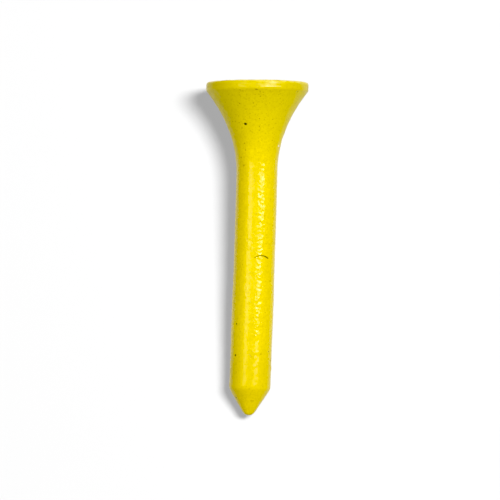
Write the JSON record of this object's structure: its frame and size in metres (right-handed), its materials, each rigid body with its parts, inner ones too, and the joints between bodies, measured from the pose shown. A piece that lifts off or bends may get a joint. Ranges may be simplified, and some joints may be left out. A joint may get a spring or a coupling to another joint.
{
  "type": "golf tee",
  "caption": "Short wooden golf tee: shallow cup in a thin-lipped flared head, plain round shank and a blunt cone point.",
  "frame": {"origin": "lowest spot of the rounded point, on the tee's axis", "axes": "+Z along the axis from the point to the cup; the tee is round about Z, so X and Y have no front or side"},
  "size_m": [0.0116, 0.0116, 0.0381],
  "materials": {
    "painted_wood": "semi-gloss"
  },
  "bodies": {
    "root": {"tee_body": "painted_wood"}
  },
  "joints": []
}
